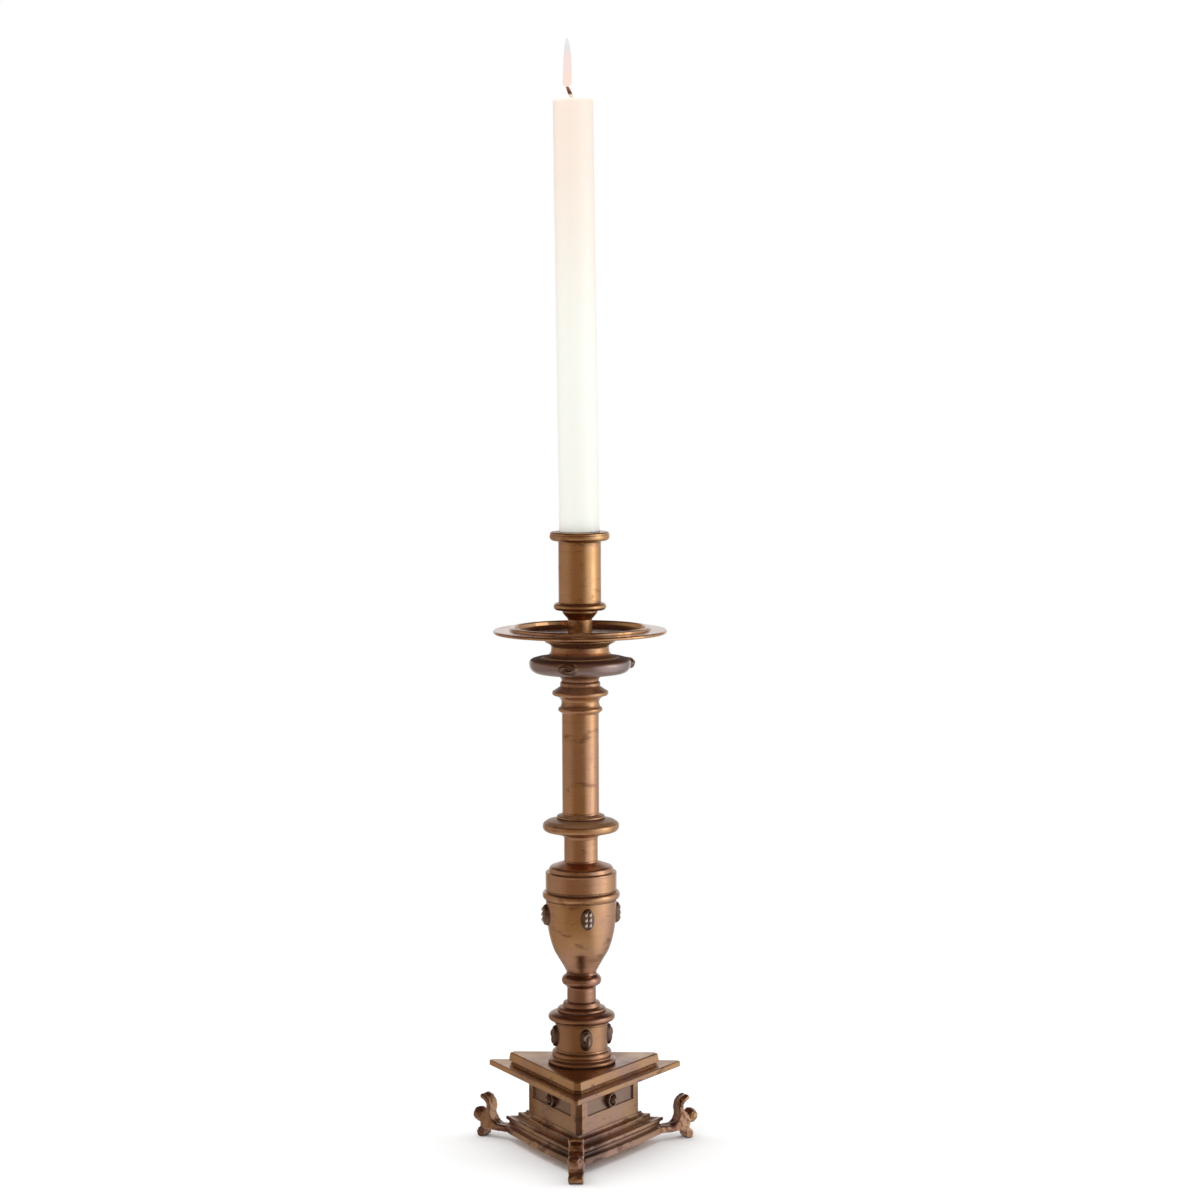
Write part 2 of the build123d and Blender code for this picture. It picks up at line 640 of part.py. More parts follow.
drum_button = cabochon(drum_r, drum_cabochon_z, 0, drum_solid)
save("drum_cabochons", *[Rot(0, 0, angle) * drum_button for angle in drum_cabochon_angles])
one_flower = disc_rosette()
save("disc_rosettes", *[Rot(0, 0, angle) * one_flower for angle in disc_rosette_angles])
one_rosette = die_rosette()
save("die_rosettes", *[Rot(0, 0, angle + 180) * one_rosette for angle in corner_angles])
save("candle", candle())
save("wick", wick())
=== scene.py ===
"""An aged brass candlestick with a lit dinner candle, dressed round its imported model."""
from math import atan2, cos, pi, radians, sin, sqrt

import bmesh
import bpy
from mathutils import Matrix, Vector, noise


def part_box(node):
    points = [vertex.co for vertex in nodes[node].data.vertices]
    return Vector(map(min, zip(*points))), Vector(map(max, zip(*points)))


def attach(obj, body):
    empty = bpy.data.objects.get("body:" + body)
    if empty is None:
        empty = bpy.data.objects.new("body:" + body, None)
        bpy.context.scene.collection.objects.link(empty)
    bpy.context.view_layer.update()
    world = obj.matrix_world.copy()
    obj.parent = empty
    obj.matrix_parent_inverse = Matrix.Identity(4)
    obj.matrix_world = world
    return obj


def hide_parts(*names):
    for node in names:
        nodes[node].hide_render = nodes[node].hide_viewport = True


MM = 0.001

# ---- Camera: it stands slightly to the right of the front corner and looks a little down ----
CAMERA_REACH = 1.70
CAMERA_HEIGHT = 0.459
CAMERA_ANGLE = radians(-87)
CAMERA_PITCH = radians(5.07)
CAMERA_YAW = radians(0.372)
CAMERA_ROLL = radians(-0.22)
CAMERA_LENS = 93.4

# ---- Die and ornaments: the way each side faces, and half sizes across and up ----
SIDE_ANGLES = (radians(90), radians(210), radians(330))
PANEL_DEPTH = 1.0 * MM
BUTTON_HALF = (4.1 * MM, 6.4 * MM)
DISC_FLOWER_HALF = (5.9 * MM, 3.3 * MM)
PANEL_FLOWER_HALF = (4.55 * MM, 4.55 * MM)

# ---- Feet ----
FOOT_ANGLES = {"foot_front": -90, "foot_right": 30, "foot_left": 150}
FOOT_BALL_R = 4.4 * MM
FOOT_EDGE = 0.7 * MM
FOOT_LUMPS = 0.40 * MM

# ---- Candle, wick and flame: BUTT_STEP is how far the butt is set in from the candle's wall ----
CANDLE_LEAN = radians(-0.6)
BUTT_STEP = 1.1 * MM
WICK_R = 1.1 * MM
WICK_ROOT = 2.0 * MM
FLAME_R = 2.4 * MM
FLAME_RISE = 33.0 * MM
FLAME_SWAY = 0.5 * MM

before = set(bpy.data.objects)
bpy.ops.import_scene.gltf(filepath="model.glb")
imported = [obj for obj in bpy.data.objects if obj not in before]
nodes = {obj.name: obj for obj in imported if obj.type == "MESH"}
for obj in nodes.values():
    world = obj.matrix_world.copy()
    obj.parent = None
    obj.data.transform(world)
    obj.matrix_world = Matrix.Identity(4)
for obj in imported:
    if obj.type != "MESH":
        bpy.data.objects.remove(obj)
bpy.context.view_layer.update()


# ---- Mesh helpers ----
def new_object(name, mesh):
    """An object in the scene that shows mesh."""
    piece = bpy.data.objects.new(name, mesh)
    bpy.context.scene.collection.objects.link(piece)
    return piece


def smooth(mesh):
    mesh.polygons.foreach_set("use_smooth", [True] * len(mesh.polygons))


def mesh_from_rows(name, rows, low_tip=None, high_tip=None):
    """A skin over rings of points, with an optional point that closes it at either end."""
    count = len(rows[0])
    points = [p for row in rows for p in row]
    faces = []
    for i in range(len(rows) - 1):
        for k in range(count):
            a, b = i * count + k, i * count + (k + 1) % count
            faces.append((a, b, b + count, a + count))
    for tip, row, order in ((low_tip, 0, -1), (high_tip, len(rows) - 1, 1)):
        if tip is None:
            continue
        points.append(tip)
        end = len(points) - 1
        for k in range(count):
            pair = (row * count + k, row * count + (k + 1) % count)
            faces.append((*pair[::order], end))
    mesh = bpy.data.meshes.new(name)
    mesh.from_pydata([tuple(p) for p in points], [], faces)
    mesh.update()
    smooth(mesh)
    return mesh


def arc(start, middle, end, count=8):
    """Points along the circle through three points, without the first one."""
    (ax, ay), (bx, by), (cx, cy) = start, middle, end
    # Four times the triangle's area, above 0 where the points run anticlockwise.
    area = 2 * (ax * (by - cy) + bx * (cy - ay) + cx * (ay - by))
    a2, b2, c2 = ax * ax + ay * ay, bx * bx + by * by, cx * cx + cy * cy
    centre_x = (a2 * (by - cy) + b2 * (cy - ay) + c2 * (ay - by)) / area
    centre_y = (a2 * (cx - bx) + b2 * (ax - cx) + c2 * (bx - ax)) / area
    r = sqrt((ax - centre_x) ** 2 + (ay - centre_y) ** 2)
    first = atan2(ay - centre_y, ax - centre_x)
    last = atan2(cy - centre_y, cx - centre_x)
    way = 1 if area > 0 else -1
    sweep = (last - first) * way % (2 * pi) * way
    steps = [first + sweep * (k + 1) / count for k in range(count)]
    return [(centre_x + r * cos(t), centre_y + r * sin(t)) for t in steps]


def modified_mesh(piece):
    """The piece's mesh as its modifiers leave it. The piece itself is removed."""
    graph = bpy.context.evaluated_depsgraph_get()
    mesh = bpy.data.meshes.new_from_object(piece.evaluated_get(graph))
    bpy.data.objects.remove(piece)
    smooth(mesh)
    return mesh


def turned_copies(mesh, places):
    """One mesh that repeats mesh at each matrix in places."""
    joined = bmesh.new()
    for place in places:
        copy = mesh.copy()
        copy.transform(place)
        joined.from_mesh(copy)
        bpy.data.meshes.remove(copy)
    result = bpy.data.meshes.new(mesh.name)
    joined.to_mesh(result)
    joined.free()
    smooth(result)
    return result


def places_round(node):
    """Angle and height of each ornament in a node, found from the gaps between them round the axis."""
    gap = radians(15)
    around = sorted((atan2(v.co.y, v.co.x), v.co.z) for v in nodes[node].data.vertices)
    groups = [[around[0]]]
    for here in around[1:]:
        if here[0] - groups[-1][-1][0] > gap:
            groups.append([])
        groups[-1].append(here)
    if len(groups) > 1 and around[0][0] + 2 * pi - around[-1][0] < gap:
        groups[0] = [(a - 2 * pi, z) for a, z in groups.pop()] + groups[0]
    found = []
    for group in groups:
        angles = [a for a, z in group]
        heights = [z for a, z in group]
        found.append(((min(angles) + max(angles)) / 2, (min(heights) + max(heights)) / 2))
    return found


def outward(angle, radius, z):
    """Places a mesh made flat in XY, facing +Z, upright on the column's wall and facing outward."""
    upright = Matrix(((0, 0, 1), (1, 0, 0), (0, 1, 0))).to_4x4()
    turned = Matrix.Translation((0, 0, z)) @ Matrix.Rotation(angle, 4, "Z")
    return turned @ Matrix.Translation((radius, 0, 0)) @ upright


def relief(name, half, pattern, rings=44, segments=132):
    """An oval in XY. pattern(share of the radius, angle) gives its height and its share of wear with a
    painted highlight.
    """
    rows = []
    worn_highlight = []
    for i in range(rings, 0, -1):
        share = i / rings
        row = []
        for k in range(segments):
            a = 2 * pi * k / segments
            height, wear_highlight = pattern(share, a)
            row.append((half[0] * share * cos(a), half[1] * share * sin(a), height))
            worn_highlight.append(wear_highlight)
        rows.append(row)
    height, wear_highlight = pattern(0, 0)
    return mesh_from_rows(name, rows, high_tip=(0, 0, height)), [*worn_highlight, wear_highlight]


def bump(value, centre, width):
    """A smooth hump, 1 at centre and 0 from width away."""
    t = min(abs(value - centre) / width, 1)
    return (1 - t * t) ** 2


# ---- Shader helpers ----
class ShaderTree:
    """Adds nodes to a shader's node tree and joins them up. A value is a number, a colour or a socket."""

    def __init__(self, tree):
        self.tree = tree

    def node(self, kind, **settings):
        made = self.tree.nodes.new("ShaderNode" + kind)
        for key, value in settings.items():
            setattr(made, key, value)
        return made

    def feed(self, socket, value):
        if isinstance(value, bpy.types.NodeSocket):
            self.tree.links.new(value, socket)
        else:
            socket.default_value = value

    def split(self, vector):
        """The X, Y and Z of a vector."""
        made = self.node("SeparateXYZ")
        self.feed(made.inputs["Vector"], vector)
        return made.outputs

    def span(self, value, low, high, to_low=0.0, to_high=1.0):
        """value from low..high moved to to_low..to_high, held at the ends."""
        made = self.node("MapRange", interpolation_type="SMOOTHSTEP")
        self.feed(made.inputs["Value"], value)
        for key, number in zip(("From Min", "From Max", "To Min", "To Max"), (low, high, to_low, to_high)):
            made.inputs[key].default_value = number
        return made.outputs["Result"]

    def maths(self, how, a, b):
        made = self.node("Math", operation=how)
        self.feed(made.inputs[0], a)
        self.feed(made.inputs[1], b)
        return made.outputs[0]

    def larger(self, a, b):
        return self.maths("MAXIMUM", a, b)

    def times(self, a, b):
        return self.maths("MULTIPLY", a, b)

    def mix(self, share, a, b):
        """Colour a, with a share of colour b."""
        made = self.node("Mix", data_type="RGBA", blend_type="MIX")
        self.feed(made.inputs[0], share)
        for socket, colour in ((made.inputs[6], a), (made.inputs[7], b)):
            self.feed(socket, colour if isinstance(colour, bpy.types.NodeSocket) else (*colour, 1))
        return made.outputs[2]


class Surface(ShaderTree):
    """Builds a procedural material in front of its Principled shader. place is the object's own space."""

    def __init__(self, material):
        super().__init__(material.node_tree)
        self.material = material
        self.shader = self.tree.nodes["Principled BSDF"]
        self.place = self.node("TexCoord").outputs["Object"]

    @classmethod
    def new(cls, name):
        material = bpy.data.materials.new(name)
        material.use_nodes = True
        return cls(material)

    def set(self, **values):
        for key, value in values.items():
            self.feed(self.shader.inputs[key.replace("_", " ")], value)

    def colour_so_far(self):
        """The socket that feeds the base colour."""
        return self.shader.inputs["Base Color"].links[0].from_socket

    def noise(self, scale, stretch=(1, 1, 1), detail=4.0, rough=0.55, distortion=0.0):
        mapping = self.node("Mapping")
        mapping.inputs["Scale"].default_value = stretch
        self.feed(mapping.inputs["Vector"], self.place)
        made = self.node("TexNoise")
        self.feed(made.inputs["Vector"], mapping.outputs["Vector"])
        made.inputs["Scale"].default_value = scale
        made.inputs["Detail"].default_value = detail
        made.inputs["Roughness"].default_value = rough
        made.inputs["Distortion"].default_value = distortion
        return made.outputs["Fac"]

    def openness(self, reach, inside=False):
        """1 in open places and lower where walls stand close, or where the metal is thin if inside."""
        made = self.node("AmbientOcclusion", inside=inside, samples=8)
        made.inputs["Distance"].default_value = reach
        return made.outputs["AO"]

    def attribute(self, name):
        return self.node("Attribute", attribute_name=name).outputs["Fac"]

    def bevel(self, radius):
        made = self.node("Bevel", samples=4)
        made.inputs["Radius"].default_value = radius
        return made.outputs["Normal"]

    def bump(self, height, depth, strength=1.0, under=None):
        made = self.node("Bump")
        self.feed(made.inputs["Height"], height)
        made.inputs["Distance"].default_value = depth
        made.inputs["Strength"].default_value = strength
        if under is not None:
            self.feed(made.inputs["Normal"], under)
        return made.outputs["Normal"]


# ---- Colours ----
GOLD = (0.64, 0.345, 0.145)
ROSE = (0.56, 0.295, 0.170)
DULL_GOLD = (0.45, 0.225, 0.110)
DULL_ROSE = (0.41, 0.210, 0.140)
CAST_GOLD = (0.50, 0.285, 0.145)
CAST_ROSE = (0.47, 0.265, 0.185)
BRONZE = (0.27, 0.155, 0.120)
BRONZE_RED = (0.25, 0.120, 0.090)
STAIN = (0.150, 0.062, 0.034)
# Patina, with painted shade in the recesses and on faces that look up.
PATINA_AND_SHADE = (0.075, 0.030, 0.019)
# A painted shadow round the plinth's front corner.
CORNER_SHADOW = (0.040, 0.014, 0.010)
# Rubbed wear with a painted highlight on convex edges.
RUBBED_AND_HIGHLIGHT = (0.80, 0.54, 0.32)
PANEL_SKIN = (0.27, 0.175, 0.130)
ORNAMENT = (0.22, 0.120, 0.072)
ORNAMENT_DARK = (0.13, 0.062, 0.040)
# Painted shade in the ornaments' hollows.
ORNAMENT_HOLLOW_SHADE = (0.016, 0.008, 0.006)
# Wear with a painted highlight on the ornaments' raised tops.
ORNAMENT_WORN_HIGHLIGHT = (0.90, 0.78, 0.66)
STEEL_DARK = (0.34, 0.33, 0.31)
STEEL_LIGHT = (0.55, 0.54, 0.52)
WAX = (0.86, 0.865, 0.800)
# Painted warm flame light on the wax near its top.
WAX_FLAME_LIT = (0.86, 0.745, 0.650)
COTTON = (0.80, 0.72, 0.55)
COTTON_DUST = (0.35, 0.20, 0.15)
CHARRED = (0.045, 0.014, 0.010)
EMBER = (0.30, 0.07, 0.05)
FLAME_FOOT = (0.96, 0.77, 0.66)
FLAME_MIDDLE = (0.95, 0.76, 0.72)
FLAME_TIP = (0.80, 0.78, 0.78)
FLOOR_DARK = (0.90, 0.90, 0.90)
FLOOR_LIGHT = (0.92, 0.92, 0.92)
ROOM_WARM = (0.30, 0.225, 0.150)
ROOM_BRIGHT = (1.06, 1.13, 1.22)
CEILING = (0.060, 0.035, 0.030)
WHITE = (1.0, 1.0, 1.0)


# ---- Materials ----
def aged_brass(name, streaks, gold=GOLD, rose=ROSE, recess_reach=5 * MM, recess_span=(0.30, 0.82),
               edge=0.35 * MM, stains=(0.57, 0.55), rough_span=(0.24, 0.42), pitted=0.05 * MM, coat=0.25,
               coat_ior=1.6, painted_top_shade=0.0):
    """Old brass: warm patches, tool marks, stains, rubbed edges with a painted highlight, and patina
    with painted shade in the recesses. streaks stretches the tool marks. stains holds how rare the
    blotches are and how strong. painted_top_shade is the share of painted shade on faces that look up."""
    s = Surface.new(name)
    colour = s.mix(s.span(s.noise(22, detail=3), 0.38, 0.62), gold, rose)
    marks = s.noise(60, streaks, detail=6, rough=0.7)
    colour = s.mix(s.span(marks, 0.50, 0.75, 0, 0.28), colour, STAIN)
    blotch = s.noise(70, (1, 1, 2.2), detail=5, rough=0.6, distortion=0.6)
    colour = s.mix(s.span(blotch, stains[0], stains[0] + 0.11, 0, stains[1]), colour, STAIN)
    specks = s.noise(900, detail=3, rough=0.7)
    colour = s.mix(s.span(specks, 0.62, 0.72, 0, 0.35), colour, STAIN)

    # Patina in the hollows with painted shade: darker where walls stand close, and painted shade on faces
    # that look up.
    openness = s.openness(recess_reach)
    facing_up = s.split(s.node("NewGeometry").outputs["Normal"])["Z"]
    patina_and_shade = s.larger(s.span(openness, *recess_span, 1, 0), s.span(facing_up, 0.35, 0.80, 0, painted_top_shade))
    colour = s.mix(patina_and_shade, colour, PATINA_AND_SHADE)
    # Rubbed wear with a painted highlight: thin, convex edges out in the open are brighter.
    thin = s.openness(0.9 * MM, inside=True)
    rubbed_and_highlight = s.times(s.span(thin, 0.30, 0.72, 0.65, 0), s.span(openness, 0.45, 0.8))
    colour = s.mix(rubbed_and_highlight, colour, RUBBED_AND_HIGHLIGHT)

    rough = s.span(s.noise(45, (1, 1, 1.5), detail=5), 0.35, 0.7, *rough_span)
    rough = s.larger(rough, s.span(patina_and_shade, 0, 1, 0.1, 0.65))
    height = s.maths("ADD", s.noise(380, streaks, detail=4), s.times(s.noise(120, detail=3), 1.5))
    s.set(Base_Color=colour, Metallic=s.span(patina_and_shade, 0, 1, 1.0, 0.25), Roughness=rough,
          Specular_IOR_Level=0.3, Normal=s.bump(height, pitted, 0.6, s.bevel(edge)),
          Coat_Weight=s.span(patina_and_shade, 0, 1, coat, 0), Coat_IOR=coat_ior, Coat_Roughness=0.28)
    return s.material


def panelled_brass(side):
    """Cast brass whose sunk panels have kept a dull grey-brown skin. side is the die's side distance."""
    s = Surface(aged_brass("panelled_brass", (1, 1, 5), CAST_GOLD, CAST_ROSE))
    place = s.split(s.place)
    distance = None
    for angle in SIDE_ANGLES:
        along = s.maths("ADD", s.times(place["X"], cos(angle)), s.times(place["Y"], sin(angle)))
        distance = along if distance is None else s.larger(distance, along)
    sunk = s.span(distance, side - 0.7 * PANEL_DEPTH, side - 0.3 * PANEL_DEPTH, 0.72, 0.0)
    s.set(Base_Color=s.mix(sunk, s.colour_so_far(), PANEL_SKIN))
    return s.material


def stained_brass_with_corner_shadow(corner):
    """Cast brass with stains, and a painted shadow: a ragged dark patch round the point corner."""
    s = Surface(aged_brass("cast_brass", (1, 1, 5), CAST_GOLD, CAST_ROSE, recess_span=(0.35, 0.85),
                           stains=(0.53, 0.85)))
    # A painted shadow: a ragged dark patch round the corner, deepest in the hollows.
    away = s.node("VectorMath", operation="DISTANCE")
    s.feed(away.inputs[0], s.place)
    away.inputs[1].default_value = corner
    ragged = s.maths("ADD", away.outputs["Value"], s.times(s.noise(90, detail=4), 26 * MM))
    hollow = s.span(s.openness(3 * MM), 0.60, 1.0, 1.0, 0.55)
    corner_shadow = s.times(s.span(ragged, 26 * MM, 40 * MM, 0.95, 0), hollow)
    s.set(Base_Color=s.mix(corner_shadow, s.colour_so_far(), CORNER_SHADOW), Coat_Weight=0.1)
    return s.material


def dark_brass():
    """Cast ornaments: painted shade darkens every hollow, and the raised tops are bright with wear and a
    painted highlight.
    """
    s = Surface.new("dark_brass")
    colour = s.mix(s.span(s.noise(160, detail=4), 0.4, 0.65), ORNAMENT, ORNAMENT_DARK)
    # Painted shade: every hollow goes nearly black.
    colour = s.mix(s.span(s.openness(1.6 * MM), 0.40, 0.85), ORNAMENT_HOLLOW_SHADE, colour)
    # Wear with a painted highlight on the raised tops.
    colour = s.mix(s.span(s.attribute("worn_highlight"), 0.25, 0.80), colour, ORNAMENT_WORN_HIGHLIGHT)
    grain = s.noise(1400, detail=3)
    s.set(Base_Color=colour, Metallic=1.0, Roughness=s.span(grain, 0.3, 0.7, 0.30, 0.50),
          Normal=s.bump(grain, 0.04 * MM, 0.5), Coat_Weight=0.6, Coat_IOR=1.7, Coat_Roughness=0.35)
    return s.material


def steel():
    """Plain drawn steel for the parts that clamp the column."""
    s = Surface.new("steel")
    marks = s.noise(300, (1, 1, 6), detail=5)
    s.set(Base_Color=s.mix(marks, STEEL_DARK, STEEL_LIGHT), Metallic=1.0,
          Roughness=s.span(marks, 0.3, 0.7, 0.25, 0.5), Normal=s.bump(marks, 0.03 * MM, 0.5))
    return s.material


def wax(low, high):
    """Cream wax, whiter low down, with painted warm flame light towards the top."""
    s = Surface.new("wax")
    # Painted flame light: the wax warms towards the top.
    warm = s.span(s.split(s.place)["Z"], low + 0.35 * (high - low), high)
    cloud = s.span(s.noise(30, (1, 1, 0.3), detail=3), 0.3, 0.7, -0.06, 0.06)
    pits = s.noise(260, (1, 1, 0.35), detail=4)
    s.set(Base_Color=s.mix(s.maths("ADD", warm, cloud), WAX, WAX_FLAME_LIT), Roughness=0.38,
          Normal=s.bump(pits, 0.06 * MM, 0.5), Subsurface_Weight=0.25, Subsurface_Scale=4 * MM,
          Subsurface_Radius=(1.0, 0.6, 0.35))
    return s.material


def wick_cotton(low, high):
    """Cotton, pale where it leaves the wax and charred above, with a red glow at its tip."""
    s = Surface.new("wick")
    height = s.split(s.place)["Z"]
    fibres = s.noise(2500, (1, 1, 0.4), detail=3)
    charred = s.span(height, low + 0.46 * (high - low), low + 0.58 * (high - low))
    colour = s.mix(charred, COTTON, CHARRED)
    colour = s.mix(s.span(height, low + 0.5 * (high - low), high), colour, EMBER)
    colour = s.mix(s.span(fibres, 0.4, 0.7, 0, 0.3), colour, COTTON_DUST)
    s.set(Base_Color=colour, Roughness=0.9, Normal=s.bump(fibres, 0.1 * MM))
    return s.material


def flame_glow(low, high):
    """A pale flame: rosy in the middle and paler grey at the tip."""
    s = Surface.new("flame")
    up = s.span(s.split(s.place)["Z"], low, high)
    colour = s.mix(s.span(up, 0.0, 0.35), FLAME_FOOT, FLAME_MIDDLE)
    colour = s.mix(s.span(up, 0.55, 1.0), colour, FLAME_TIP)
    s.set(Base_Color=(0, 0, 0, 1), Roughness=1.0, Specular_IOR_Level=0.0, Emission_Color=colour,
          Emission_Strength=1.0, Alpha=s.span(up, 0.86, 1.0, 0.85, 0.5))
    return s.material


def pale_floor():
    """A matt, almost white studio floor."""
    s = Surface.new("floor")
    s.set(Base_Color=s.mix(s.noise(6, detail=2), FLOOR_DARK, FLOOR_LIGHT), Roughness=0.95,
          Specular_IOR_Level=0.1)
    return s.material


def finish_with(piece, material):
    """Makes material the only one on the piece."""
    piece.data.materials.clear()
    piece.data.materials.append(material)


# ---- Feet: the CAD outline with cast, rounded edges ----
def foot_outline(r0, z0):
    """The scroll seen from the side, out from the block at r0 and z0, and the middle of its ball."""
    scroll = r0 + 2.05 * MM
    toe = (scroll + 16.6 * MM, 2.5 * MM)
    ball = (scroll + 18.6 * MM, 12.3 * MM)
    root = (scroll + 12.6 * MM, 16.6 * MM)
    tip = (scroll + 15.6 * MM, 23.2 * MM)
    root_top = z0 + 3.6 * MM

    def near(point, dx, dz):
        return (point[0] + dx * MM, point[1] + dz * MM)

    outline = [(r0, z0), (toe[0] - 4.0 * MM, z0)]
    outline += arc(outline[-1], (toe[0] - 2.9 * MM, z0 - 0.6 * MM), near(toe, -2.35, 0.8), 5)
    outline += arc(outline[-1], (toe[0], 0), near(toe, 2.35, 0.8), 20)
    outline += arc(outline[-1], near(toe, 1.2, 2.6), near(toe, 0, 3.9), 8)
    outline += [near(ball, -1.4, -3.0), near(ball, -3.4, 2.6), root]
    outline += arc(root, near(root, 0.7, 3.6), near(tip, 0, -0.8), 10)
    outline += arc(outline[-1], near(tip, 0.9, 0.9), near(tip, -0.6, 1.5), 8)
    outline += arc(outline[-1], near(root, -1.7, 4.8), near(root, -2.6, 0.2), 12)
    outline += arc(outline[-1], near(root, -2.2, -2.0), near(root, -2.6, -3.4), 6)
    block_end = (scroll + 5.2 * MM, root_top)
    outline += arc(outline[-1], (root[0] - 4.2 * MM, root_top + 1.6 * MM), block_end, 8)
    outline += [(r0, root_top)]
    return outline, ball


def foot_blank():
    """A foot pointing along +X: a flat scroll with bevelled edges, and its ball."""
    low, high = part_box("foot_front")
    half_w = (high.x - low.x) / 2 - 0.3 * MM
    r0 = -high.y
    outline, ball = foot_outline(r0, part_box("plinth")[0].z)
    body = bmesh.new()
    face = body.faces.new([body.verts.new((x, -half_w, z)) for x, z in outline])
    swept = bmesh.ops.extrude_face_region(body, geom=[face])
    moved = [v for v in swept["geom"] if isinstance(v, bmesh.types.BMVert)]
    bmesh.ops.translate(body, verts=moved, vec=(0, 2 * half_w, 0))
    bmesh.ops.recalc_face_normals(body, faces=body.faces)

    def is_rim(edge):
        """On one of the two flat sides, and away from the face that meets the plinth."""
        a, b = (v.co for v in edge.verts)
        return abs(a.y - b.y) < 1e-6 < abs(a.x - r0) + abs(b.x - r0)

    rims = [edge for edge in body.edges if is_rim(edge)]
    bmesh.ops.bevel(body, geom=rims, offset=FOOT_EDGE, segments=3, profile=0.6, affect="EDGES",
                    clamp_overlap=True)
    bmesh.ops.triangulate(body, faces=body.faces)
    bmesh.ops.create_icosphere(body, subdivisions=4, radius=FOOT_BALL_R,
                               matrix=Matrix.Translation((ball[0], 0, ball[1])))
    mesh = bpy.data.meshes.new("foot")
    body.to_mesh(mesh)
    body.free()
    return mesh


def foot_mesh():
    """The blank fused and softened like a casting, with an uneven skin that stays above the floor."""
    piece = new_object("foot_blank", foot_blank())
    fuse = piece.modifiers.new("fuse", "REMESH")
    fuse.mode = "VOXEL"
    fuse.voxel_size = 0.28 * MM
    soften = piece.modifiers.new("soften", "SMOOTH")
    soften.factor = 0.6
    soften.iterations = 5
    mesh = modified_mesh(piece)
    places = []
    for v in mesh.vertices:
        lumps = noise.noise(v.co * 330) + 0.5 * noise.noise(v.co * 800)
        places.append(v.co + v.normal * FOOT_LUMPS * lumps)
    for v, place in zip(mesh.vertices, places):
        v.co = (place.x, place.y, max(place.z, 0))
    return mesh


def feet(brass):
    """One casting, turned to each of the plinth's corners."""
    mesh = foot_mesh()
    for name, angle in FOOT_ANGLES.items():
        copy = mesh.copy()
        copy.transform(Matrix.Rotation(radians(angle), 4, "Z"))
        piece = new_object("cast_" + name, copy)
        finish_with(piece, brass)
        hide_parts(name)
        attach(piece, "candlestick")


# ---- Ornaments in relief ----
def puck(share, foot, top):
    """A thick button's side in mm, from foot at its outline up to top where its face begins."""
    climb = min((1 - share) / 0.22, 1)
    return foot + (top - foot) * sin(pi / 2 * climb) ** 0.8


def dome(share):
    """The slight dome of a button's face in mm."""
    return 0.4 * max(0, 1 - (share / 0.8) ** 2)


def urn_button(share, angle):
    """A thick oval with six round pearls on its domed face."""
    x, y = share * cos(angle), share * sin(angle)
    pearls = max(bump(sqrt((x - column) ** 2 + (y - row) ** 2), 0, 0.28)
                 for column in (-0.27, 0.27) for row in (-0.46, 0.0, 0.46))
    return (puck(share, -1.3, 2.0) + dome(share) + 0.95 * pearls) * MM, 1.3 * pearls


def drum_button(share, angle):
    """A thick oval with two scrolls that curl into each other."""
    curl = 0.5 + 0.5 * sin(2 * angle + 8 * share)
    scroll = curl ** 1.5 * bump(share, 0.38, 0.36)
    return (puck(share, -0.9, 2.0) + dome(share) + scroll) * MM, 0.55 * scroll


def disc_flower(share, angle):
    """Two leaves that curl round a small heart, on a thick oval head."""
    curl = 0.5 + 0.5 * sin(2 * angle - 7 * share)
    leaves = curl ** 1.5 * bump(share, 0.46, 0.36)
    heart = bump(share, 0, 0.18)
    return (puck(share, -1.0, 1.9) + 1.1 * leaves + 0.6 * heart) * MM, 0.5 * leaves


def panel_flower(share, angle):
    """A thick button: a rounded rim, a hollow and a lobed knob that stands out of it."""
    rim = 1.2 * bump(share, 0.80, 0.20)
    knob = 2.9 * sqrt(max(0, 1 - (share / 0.52) ** 2))
    lobes = 0.3 * bump(share, 0.30, 0.2) * cos(6 * angle)
    edge = -1.5 * max(0, (share - 0.93) / 0.07)
    return (1.5 + rim + knob + lobes + edge) * MM, 0.45 * bump(share, 0, 0.40) + 0.35 * rim


def ornaments(material, node, pattern, half, seat):
    """Replaces a node of ornaments by reliefs at the same places. seat is how far from the axis their
    height counts from."""
    mesh, worn_highlight = relief(node, half, pattern)
    places = [outward(angle, seat, z) for angle, z in places_round(node)]
    mesh = turned_copies(mesh, places)
    # Each point keeps its share of wear with a painted highlight for the shader.
    mesh.attributes.new("worn_highlight", "FLOAT", "POINT").data.foreach_set("value", worn_highlight * len(places))
    piece = new_object("relief_" + node, mesh)
    finish_with(piece, material)
    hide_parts(node)
    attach(piece, "candlestick")


# ---- Candle, wick and flame ----
def ring_of(radius, z, wobble, segments=96):
    """A level ring whose radius is stirred by up to about wobble."""
    row = []
    for k in range(segments):
        a = 2 * pi * k / segments
        r = radius + wobble * noise.noise(Vector((2.2 * cos(a), 2.2 * sin(a), 60 * z)))
        row.append((r * cos(a), r * sin(a), z))
    return row


